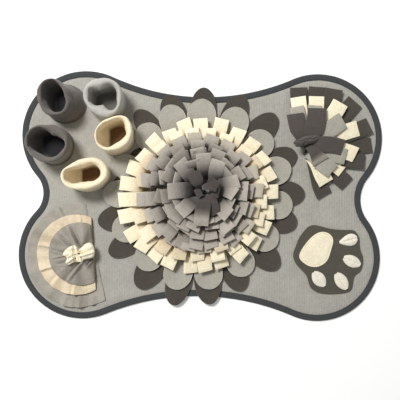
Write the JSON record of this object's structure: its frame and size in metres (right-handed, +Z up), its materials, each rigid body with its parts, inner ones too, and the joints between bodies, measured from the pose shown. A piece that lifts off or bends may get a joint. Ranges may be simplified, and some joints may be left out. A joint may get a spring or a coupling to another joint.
{
  "type": "snuffle mat",
  "caption": "Bone-shaped fleece snuffle mat with a fringed flower on petals, open cups, a gathered pocket with a bow, a fan of fringe and a paw patch.",
  "frame": {"origin": "under the middle of the mat, on the surface that it lies on", "axes": "+X along the mat's length, from the cups and the pocket towards the fan and the paw, +Y across it towards the cups and the fan, +Z up"},
  "size_m": [0.6976, 0.4798, 0.0724],
  "materials": {
    "mat_fleece": "napped fleece with a faint rib, matt",
    "binding_tape": "woven twill tape, matt",
    "dark_fleece": "polar fleece, matt",
    "light_fleece": "polar fleece, matt",
    "cream_fleece": "polar fleece, matt",
    "beige_fleece": "polar fleece, matt",
    "grey_fleece": "polar fleece, matt",
    "taupe_fleece": "polar fleece, matt",
    "charcoal_fleece": "polar fleece, matt"
  },
  "bodies": {
    "root": {"mat_base": "mat_fleece", "edge_binding": "binding_tape", "petals_dark": "dark_fleece", "petals_light": "light_fleece", "flower_row_1": "cream_fleece", "flower_row_2": "cream_fleece", "flower_row_3": "beige_fleece", "flower_row_4": "grey_fleece", "flower_row_5": "grey_fleece", "flower_row_6": "grey_fleece", "flower_row_7": "grey_fleece", "flower_row_8": "grey_fleece", "flower_row_9": "taupe_fleece", "cup_taupe": "taupe_fleece", "cup_light_grey": "light_fleece", "cup_charcoal": "charcoal_fleece", "cup_cream_round": "cream_fleece", "cup_cream_oval": "cream_fleece", "skirt_lower": "light_fleece", "skirt_cream": "cream_fleece", "skirt_top": "grey_fleece", "bow": "cream_fleece", "fan_row_1": "dark_fleece", "fan_row_2": "cream_fleece", "fan_row_3": "light_fleece", "fan_row_4": "taupe_fleece", "paw_patch": "dark_fleece", "paw_pad": "cream_fleece", "paw_toe_1": "cream_fleece", "paw_toe_2": "cream_fleece", "paw_toe_3": "cream_fleece", "paw_toe_4": "cream_fleece"}
  },
  "joints": []
}
